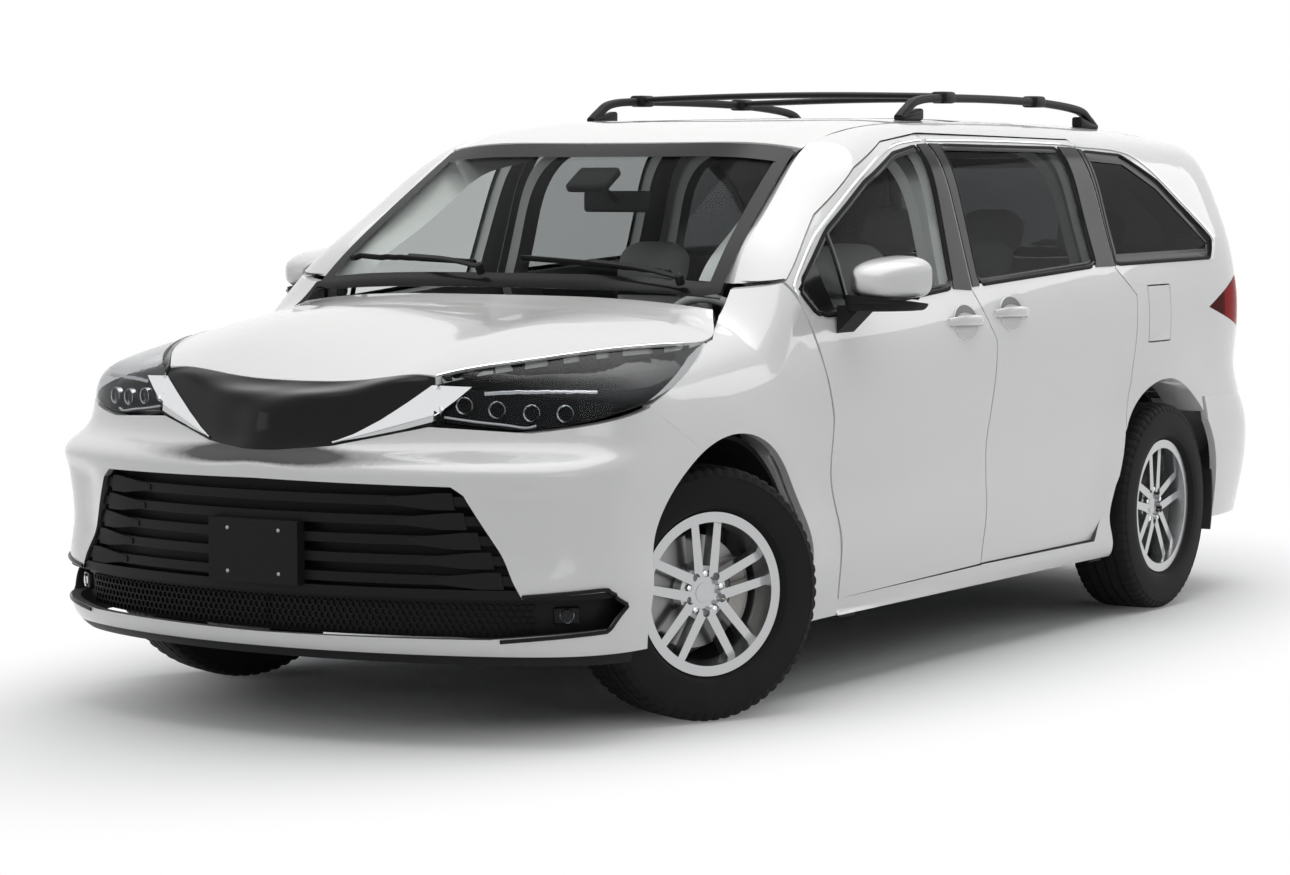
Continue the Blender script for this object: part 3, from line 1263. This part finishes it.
# %% Wipers
def wiper(name, pivot_y, tip_y, lift_z=0.0):
    """An arm and a blade lying along the foot of the screen."""
    span = [pivot_y + (tip_y - pivot_y) * k / 30 for k in range(31)]
    path, slopes = [], []
    for y in span:
        foot = min(p.y for p in edges["screen"] if abs(p.x - y) < 0.05)
        spot, slope = on_screen(y, foot + 0.050 + lift_z + 0.05 * abs(y - pivot_y))
        path.append(spot + slope * 0.004)
        slopes.append(slope)
    spine = strip(path[3:], slopes[3:], [(0.006, 0.0), (0.0055, 0.010), (0.002, 0.016), (-0.002, 0.016),
                                         (-0.0055, 0.010), (-0.006, 0.0)])
    lip = strip(path[3:], slopes[3:], [(0.0015, -0.003), (0.0012, 0.002), (-0.0012, 0.002),
                                       (-0.0015, -0.003)])
    middle = path[17] + slopes[17] * 0.014
    root = path[0] + slopes[0] * 0.014 + Vector((0.055, 0.0, -0.016))
    arm_path = smooth_path([root, root.lerp(middle, 0.45) + slopes[8] * 0.010, middle], 16)
    arm = strip(arm_path, [slopes[8]] * 16, [(0.009, 0.0), (0.007, 0.006), (-0.007, 0.006), (-0.009, 0.0)])
    knob = turned([(0.0005, 0.014), (0.012, 0.012), (0.014, 0.0), (0.014, -0.02)], 20)
    piece(name, *joined([spine, lip, arm, moved(knob, facing(root, slopes[0]))]), satin_black, smooth=30.0)


wiper("wiper_left", 0.62, 0.02)
wiper("wiper_right", -0.08, -0.66, 0.012)
left_way = Vector((0, 1, 0))
pod_spot, pod_slope = on_screen(0.0, max(p.y for p in edges["screen"]) - 0.085)
pod_root = pod_spot - pod_slope * 0.030
pod = box_piece(-0.075, 0.075, -0.02, 0.012, -0.06, 0.055, bevel=0.012)
piece("camera_pod", *moved(pod, facing(pod_root, left_way.cross(pod_slope).cross(left_way))), cabin_plastic)
glass_centre = pod_spot + Vector((-0.16, 0.0, -0.10))
inner = box_piece(-0.125, 0.125, -0.012, 0.012, -0.034, 0.034, bevel=0.011)
inner_place = Matrix.Translation(glass_centre) @ Matrix.Rotation(math.radians(90), 4, "Z")
piece("inner_mirror", *joined([moved(inner, inner_place), strip([pod_root, glass_centre], [left_way] * 2,
                                                                oval(0.018, 0.018))]), cabin_plastic)

# %% [markdown]
# ## Roof rails
# The rails are drawn tubes that bend down into their feet, with two flat bars between them. They were built
# as solids with square edges; here each is a rounded section swept on the same line.

# %% Rails and crossbars
up = Vector((0, 0, 1))
on_roof = casting(from_above, down_way, tree_of(["roof_panel", "body_sides", "tailgate"]))
rail_front, rail_rear, rail_y = -0.110, -1.640, 0.600
rail_points = [(rail_front - 0.005, 0.006), (rail_front - 0.055, 0.034), (rail_front - 0.130, 0.063),
               (-0.42, 0.073), (-0.86, 0.076), (-1.22, 0.074), (rail_rear + 0.145, 0.062),
               (rail_rear + 0.060, 0.034), (rail_rear + 0.004, 0.006)]
rail_path = smooth_path([on_roof(x, rail_y)[0] + Vector((0, 0, h)) for x, h in rail_points], 90)
twentieths = [2 * math.pi * k / 20 for k in range(20)]
rail_section = [(0.017 * math.copysign(abs(math.cos(a)) ** 0.7, math.cos(a)),
                 0.014 * math.copysign(abs(math.sin(a)) ** 0.7, math.sin(a))) for a in twentieths]
both("roof_rail", *strip(rail_path, [up] * 90, rail_section), satin_black, smooth=50.0)
feet, foot_length = [], 0.150
for x, towards in ((rail_front - 0.075, 1), (rail_rear + 0.080, -1)):
    foot = box_piece(-foot_length / 2, foot_length / 2, -0.020, 0.020, -0.002, 0.040, bevel=0.010)
    points = []
    for p in foot[0]:
        fall = max(0.0, 0.5 + towards * p.x / foot_length) * 0.026 if p.z > 0.02 else 0.0
        points.append(Vector((x + p.x, rail_y + p.y, on_roof(x + p.x, rail_y)[0].z + p.z - fall)))
    feet.append((points, foot[1]))
both("rail_feet", *joined(feet), satin_black, smooth=50.0)
bars = []
for x in (-0.443, -1.142):
    height = min(rail_path, key=lambda p: abs(p.x - x)).z
    line = [Vector((x, -rail_y + 2 * rail_y * k / 30, height + 0.006 + 0.010 * math.sin(math.pi * k / 30)))
            for k in range(31)]
    bars.append(strip(line, [up] * 31, ellipse(0, 0, 0.030, 0.011, twentieths)))
    for side in (1, -1):
        clamp = box_piece(-0.042, 0.042, -0.030, 0.030, -0.018, 0.022, bevel=0.012)
        bars.append(moved(clamp, Matrix.Translation((x, side * (rail_y - 0.004), height))))
bars = piece("crossbars", *joined(bars), satin_black, smooth=50.0)
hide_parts("roof_rack")
print("roof height", round(max(p.z for p in rail_path), 3))

# %% [markdown]
# ## The tail
# The photograph doesn't show the rear, so it gets what such vehicles have: a lamp on each side with an inner
# part on the tailgate, a dark strip between, a wiper, a high stop lamp in the spoiler, reflectors and a bare
# plate recess.

# %% Tail pieces
lamp_red = finish_of("lamp_red", (0.16, 0.004, 0.004), (0.22, 0.006, 0.006), (0.12, 0.18), specular=0.25,
                     tree=flake,
                     Depth=0.0, Waviness=0.02)
on_gate = casting(from_rear, rear_way, tree_of(["tailgate", "tailgate_glass"]))
inner_lamp = [(0.36, 1.040), (0.654, 1.000), (0.660, 1.128), (0.50, 1.140), (0.39, 1.098)]
garnish = [(-0.36, 1.046), (0.36, 1.046), (0.385, 1.098), (-0.385, 1.098)]
glow_line = smooth_path([(0.39, 1.068, 0), (0.52, 1.066, 0), (0.645, 1.045, 0)], 24)
both("tail_lamp_inner", *patch(inner_lamp, on_gate, lift=0.005, depth=0.004, cell=0.03), lamp_red,
     "tailgate")
both("tail_lamp_line", *laid_strip(glow_line, on_gate, rounded_profile(0.010, 0.003), 0.005), bright_trim,
     "tailgate")
piece("tail_garnish", *patch(garnish, on_gate, lift=0.004, depth=0.004, cell=0.04), piano_black, "tailgate")
piece("high_stop_lamp", *laid_strip([(-0.16 + 0.32 * k / 16, 1.628) for k in range(17)], on_gate,
                                    rounded_profile(0.016, 0.003)), lamp_red, "tailgate")
both("rear_reflector", *laid_strip([(0.60 + 0.14 * k / 10, 0.520) for k in range(11)],
                                   casting(from_rear, rear_way),
                                   rounded_profile(0.030, 0.003)), lamp_red)
wiper_line = [(y, 1.262 + 0.10 * (0.28 - abs(y - 0.02)) * 0.5)
              for y in [-0.02 + 0.32 * k / 20 for k in range(21)]]
path, slopes = laid(wiper_line, on_rear_pane)
blade = strip([p + s * 0.004 for p, s in zip(path, slopes)], slopes,
              [(0.006, 0.0), (0.005, 0.012), (-0.005, 0.012), (-0.006, 0.0)])
root, root_slope = on_gate(0.0, 1.172)
arm_line = smooth_path([root + root_slope * 0.016, path[2] + slopes[2] * 0.026,
                        path[10] + slopes[10] * 0.016], 14)
arm = strip(arm_line, [slopes[4]] * 14, [(0.008, 0.0), (0.006, 0.006), (-0.006, 0.006), (-0.008, 0.0)])
knob = turned([(0.0005, 0.022), (0.017, 0.020), (0.020, 0.012), (0.020, -0.006)], 24)
piece("rear_wiper", *joined([blade, arm, moved(knob, facing(root, root_slope))]), satin_black, "tailgate",
      smooth=30.0)
handle_bar = box_piece(-0.20, 0.20, -0.014, 0.008, -0.016, 0.016, bevel=0.006)
piece("gate_grip", *moved(handle_bar, facing(on_gate(0.0, 1.012)[0], front_way)), pearl_paint, "tailgate")
pipe = turned([(0.026, 0.0), (0.030, 0.004), (0.030, -0.10), (0.026, -0.10)], 32)
piece("tail_pipe", *moved(pipe, facing(Vector((-2.515, -0.52, 0.268)), front_way)), machined_steel)
tread, on_rear_bumper = [], casting(from_rear, rear_way, tree_of(["rear_bumper"]))
tread_top, tread_under, tread_half, tread_depth = 0.696, 0.690, 0.60, 0.15
for k in range(41):
    spot, _ = on_rear_bumper(-tread_half + 2 * tread_half * k / 40, 0.685)
    tread += [Vector((spot.x + 0.003 + tread_depth * j / 5, spot.y, z))
              for z, order in ((tread_top, range(6)), (tread_under, range(5, -1, -1))) for j in order]
piece("bumper_tread", tread, grid_faces(41, 12, closed_columns=True), grained_black)

# %% [markdown]
# ## The cabin
# What shows through the glass is seats, dashboard, wheel and pillars. Seats are soft goods: foam under
# leather, pulled down along its seams. Each pad is shaped in code as a crowned cushion with channels pressed
# in, because a full cloth run for eight seats would take too long, and sits over its plain solid.

# %% A crowned pad with seams
def pad(width, length, thick, channels_u=(), channels_v=(), crown=0.35, power=5.0, count=30, depth=0.012,
        corner=0.4):
    """A cushion about its own centre, its width along X and length along Y, with seams at shares of each."""
    points = []

    def swell(u, v):
        edge = max(0.0, 1 - abs(u) ** power) ** 0.5 * max(0.0, 1 - abs(v) ** power) ** 0.5
        rise = edge * (1 - crown + crown * (1 - 0.5 * (u * u + v * v)))
        seam = 0.0
        for at in channels_u:
            seam += math.exp(-((u - at) / 0.035) ** 2)
        for at in channels_v:
            seam += math.exp(-((v - at) / 0.030) ** 2)
        return rise * thick / 2 - min(1.0, seam) * depth * edge

    spans = [math.sin(math.pi / 2 * (2 * i / count - 1)) * 0.35 + (2 * i / count - 1) * 0.65
             for i in range(count + 1)]
    for sign in (1, -1):
        for v in spans:
            for u in spans:
                across, along = u * (1 - corner * v ** 4 / 2) ** 0.5, v * (1 - corner * u ** 4 / 2) ** 0.5
                points.append(Vector((across * width / 2, along * length / 2,
                                      sign * (swell(u, v) if sign > 0 else max(0.0, swell(u, v)) * 0.9))))
    n = count + 1
    top = grid_faces(n, n)
    return points, top + [[i + n * n for i in reversed(f)] for f in top]


# %% A whole seat
seat_depth, seat_width, back_depth, back_height, recline = 0.50, 0.51, 0.12, 0.60, math.radians(20)
seat_y, seat_low, bench_low, deck = 0.38, 0.520, 0.610, 0.312
on_edge = Matrix.Rotation(math.radians(90), 4, "Y") @ Matrix.Rotation(math.radians(90), 4, "Z")


def seat_parts(x, y, wide, low_z, heads=1):
    """Cushion, back and head restraints over a solid seat whose front edge is at x."""
    seams = (-0.58, 0.58) if heads == 1 else (-0.64, -0.34, 0.34, 0.64)
    lying = Matrix.Translation((x - seat_depth / 2 + 0.004, y, low_z + 0.150 - 0.068)) @ Matrix.Rotation(
        math.radians(-90), 4, "Z") @ Matrix.Rotation(math.radians(3), 4, "X")
    parts = [moved(pad(wide + 0.012, seat_depth + 0.030, 0.185, seams, (-0.30, 0.28)), lying)]
    swing = Matrix.Translation((x - seat_depth, y, low_z + 0.068)) @ Matrix.Rotation(-recline, 4, "Y")
    upright = swing @ Matrix.Translation((-back_depth / 2, 0, back_height / 2)) @ on_edge
    parts.append(moved(pad(wide + 0.014, back_height + 0.025, back_depth + 0.055, seams,
                           (-0.42, 0.05, 0.55)),
                       upright))
    for k in range(heads):
        head_place = swing @ Matrix.Translation((-0.065, (k - (heads - 1) / 2) * 0.42,
                                                 back_height + 0.115)) @ on_edge
        parts.append(moved(pad(0.275, 0.185, 0.125, crown=0.5, power=4.0, count=18, corner=0.9), head_place))
    return parts


def seat_frame(x, y, wide, low_z):
    """The hard parts: side trims, rails and the block between them."""
    parts = []
    for side in (-1, 1):
        rail_at, trim_at = y + side * wide * 0.30, y + side * (wide / 2 - 0.006)
        parts.append(box_piece(x - 0.46, x - 0.04, rail_at - 0.02, rail_at + 0.02, deck, deck + 0.035,
                               bevel=0.004))
        parts.append(box_piece(x - 0.50, x - 0.05, trim_at - 0.012, trim_at + 0.012, low_z - 0.10,
                               low_z + 0.055,
                               bevel=0.008))
    parts.append(box_piece(x - 0.40, x - 0.10, y - wide * 0.38, y + wide * 0.38, deck + 0.03, low_z - 0.01,
                           bevel=0.01))
    return parts


def seat_row(x):
    """The soft and the hard parts of two single seats."""
    soft, hard = [], []
    for y in (seat_y, -seat_y):
        soft += seat_parts(x, y, seat_width, seat_low)
        hard += seat_frame(x, y, seat_width, seat_low)
    return soft, hard


front_soft, front_hard = seat_row(0.640)
front = piece("front_seat_pads", *joined(front_soft), leather, smooth=60.0)
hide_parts("front_seats")
rear_soft, rear_hard = seat_row(-0.330)
rear = piece("rear_seat_pads", *joined(rear_soft + seat_parts(-1.200, 0.0, 1.24, bench_low, heads=3)),
             leather,
             smooth=60.0)
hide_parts("rear_seats")
piece("seat_trims", *joined(front_hard + rear_hard), cabin_plastic)
print("seats:", len(front.data.polygons) + len(rear.data.polygons), "faces")

# %% [markdown]
# ## Dashboard and steering wheel
# The dashboard is one smooth swept form with a hood over the dials, a screen in the middle, vents and a
# console with the selector. The steering wheel is a padded ring with a soft middle and two spokes.

# %% Dashboard
dash_front, dash_rear, dash_top, dash_half = 1.240, 0.840, 1.120, 0.780
section = [(dash_front - 0.01, dash_top - 0.02), (dash_front - 0.13, dash_top + 0.004),
           (dash_rear + 0.10, dash_top - 0.020),
           (dash_rear + 0.018, dash_top - 0.062), (dash_rear + 0.004, dash_top - 0.110),
           (dash_rear + 0.035, dash_top - 0.150), (dash_rear + 0.020, dash_top - 0.200),
           (dash_rear + 0.070, dash_top - 0.290), (dash_rear + 0.17, dash_top - 0.335),
           (dash_front - 0.01, dash_top - 0.335)]
flat = smooth_path([(x, 0, z) for x, z in section], 46)
rows = []
for k in range(41):
    y = -dash_half + 2 * dash_half * k / 40
    for p in flat:
        hooded = p.z > dash_top - 0.05 and p.x < dash_front - 0.12
        bulge = 0.030 * math.exp(-((y - 0.38) / 0.16) ** 2) * hooded
        ends = 0.030 * (abs(y) / dash_half) ** 6
        rows.append(Vector((p.x + ends * 0.5, y, p.z + bulge - ends)))
dash = piece("dash_skin", rows, tube_faces(41, 46), cabin_plastic, smooth=50.0)
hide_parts("dashboard")
console = box_piece(0.49, 1.08, -0.118, 0.118, 0.318, 0.86, bevel=0.022)
tunnel = box_piece(0.20, 0.50, -0.112, 0.112, 0.318, 0.70, bevel=0.03)
piece("console", *joined([console, tunnel]), cabin_plastic)
screen = box_piece(-0.135, 0.135, -0.008, 0.010, -0.075, 0.075, bevel=0.004)
screen_place = facing(Vector((dash_rear + 0.045, 0.0, dash_top + 0.015)), Vector((-1, 0.0, 0.18)))
piece("dash_screen", *moved(screen, screen_place), piano_black)
vents = []
for y in (-0.70, -0.24, 0.24, 0.68):
    place = facing(Vector((dash_rear + 0.003, y, dash_top - 0.100)), front_way)
    vents.append(moved(box_piece(-0.055, 0.055, -0.006, 0.006, -0.024, 0.024, bevel=0.004), place))
    fin = box_piece(-0.048, 0.048, -0.004, 0.010, -0.0015, 0.0015)
    vents += [moved(fin, place @ Matrix.Translation((0, 0, -0.015 + 0.010 * j))) for j in range(4)]
piece("dash_vents", *joined(vents), satin_black)
trim_line = [Vector((dash_rear + 0.036, -0.74 + 1.48 * k / 40, dash_top - 0.158)) for k in range(41)]
piece("dash_line", *strip(trim_line, [front_way] * 41, rounded_profile(0.012, 0.004)), silver_lacquer)

# %% Steering wheel
wheel_centre = Vector((0.690, 0.380, 1.010))
wheel_place = Matrix.Translation(wheel_centre) @ Matrix.Rotation(math.radians(-65), 4,
        "Y") @ Matrix.Rotation(
    math.radians(90), 4, "Z")
ring_radius, grip_across, grip_deep, ring_steps, grip_steps = 0.182, 0.0155, 0.017, 64, 14
ring = []
for i in range(ring_steps):
    a = 2 * math.pi * i / ring_steps
    for j in range(grip_steps):
        b = 2 * math.pi * j / grip_steps
        r = ring_radius + grip_across * math.cos(b)
        ring.append(Vector((r * math.cos(a), r * math.sin(a), grip_deep * math.sin(b))))
spoke = box_piece(0.045, 0.172, -0.022, 0.022, -0.016, 0.004, bevel=0.007)
column = turned([(0.030, 0.0), (0.032, 0.17), (0.045, 0.175), (0.045, 0.235), (0.001, 0.235)], 24)
wheel_parts = [(ring, grid_faces(ring_steps, grip_steps, True, True)),
               *(moved(spoke, Matrix.Rotation(math.radians(a), 4, "Z")) for a in (0, 180, 270)),
               moved(pad(0.175, 0.145, 0.075, crown=0.6, power=4.0, count=18),
                     Matrix.Translation((0, 0, 0.006))),
               moved(column, Matrix.Rotation(math.radians(-90), 4, "X"))]
steer = piece("steering_ring", *moved(joined(wheel_parts), wheel_place), leather, smooth=50.0)
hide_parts("steering_wheel")

# %% [markdown]
# ## Inside the doors and under the floor
# An open door shows its lining: a soft panel, an arm rest with a pull, and a speaker. Underneath are the
# springs round the struts, brake lines along the floor, hangers for the exhaust and rubber feet on the
# lifting points.

# %% Door linings
in_door = casting(lambda x, z: Vector((x, 0.2, z)), left_way, tree_of(["front_door_left"]))
lining = [(0.16, 0.42), (0.98, 0.42), (0.98, 1.02), (0.92, 1.13), (0.16, 1.13)]
soft_part = [(0.20, 0.86), (0.90, 0.86), (0.86, 1.08), (0.20, 1.08)]
both("door_lining", *patch(lining, in_door, lift=0.004, depth=0.001, cell=0.05), cabin_plastic,
     "front_door_left")
both("door_soft_part", *patch(soft_part, in_door, lift=0.008, depth=0.001, cell=0.05), leather,
     "front_door_left")
door_y = in_door(0.50, 0.80)[0].y
arm_rest = box_piece(0.22, 0.86, door_y - 0.052, door_y - 0.002, 0.775, 0.820, bevel=0.014)
pocket = box_piece(0.28, 0.86, door_y - 0.034, door_y - 0.002, 0.46, 0.60, bevel=0.012)
lever = box_piece(0.66, 0.76, door_y - 0.022, door_y - 0.004, 0.925, 0.950, bevel=0.007)
both("door_arm_rest", *joined([arm_rest, pocket]), cabin_plastic, "front_door_left")
both("speaker_ring", *laid_strip(ellipse(0.90, 0.54, 0.052, 0.052), in_door, rounded_profile(0.010, 0.004),
                                 0.004,
                                 closed=True), satin_black, "front_door_left")
both("door_lever", *lever, bright_trim, "front_door_left")


# %% Under the floor
def helix(foot, head, radius, turns, wire, count=150):
    """A coil spring between two points."""
    axis = (head - foot).normalized()
    a = axis.orthogonal().normalized()
    b = axis.cross(a)
    path = [foot.lerp(head, k / count) + (a * math.cos(2 * math.pi * turns * k / count)
            + b * math.sin(2 * math.pi * turns * k / count)) * radius for k in range(count + 1)]
    slopes = [(p - foot.lerp(head, k / count)).normalized() for k, p in enumerate(path)]
    return strip(path, slopes, oval(wire, wire, 8))


axle_front = 1.599
both("front_spring", *helix(Vector((axle_front, 0.652, 0.560)), Vector((axle_front, 0.643, 0.780)), 0.046, 5,
                            0.012),
     satin_black, smooth=60.0)
feet = [box_piece(x - 0.047, x + 0.047, 0.9075, 0.9425, 0.2172, 0.2272, bevel=0.003) for x in (0.86, -0.93)]
both("lifting_foot", *joined(feet), grained_black)
under = casting(lambda x, y: Vector((x, y, -0.3)), up, tree_of(["floor_pan", "underbody"]))
clip = box_piece(-0.008, 0.008, -0.010, 0.010, -0.002, 0.009, bevel=0.002)
upside_down = Matrix.Scale(-1, 4, up)
lines = []
for y in (0.555, 0.575):
    path, slopes = laid(smooth_path([(1.10, y, 0), (0.2, y, 0), (-0.9, y, 0), (-1.20, y - 0.03, 0)], 60),
                        under)
    lines.append(strip([p + s * 0.004 for p, s in zip(path, slopes)], slopes, oval(0.008, 0.008, 8)))
    lines += [moved(clip, Matrix.Translation(path[k]) @ upside_down) for k in range(3, 58, 9)]
piece("brake_lines", *joined(lines), satin_black, smooth=50.0)
ribs = [laid_strip([(-0.85 + 0.65 * k / 20, y) for k in range(21)], under, rounded_profile(0.030, 0.005))
        for y in (-0.26, -0.13, 0.0, 0.13, 0.26)]
piece("tank_ribs", *joined(ribs), chassis_coat)
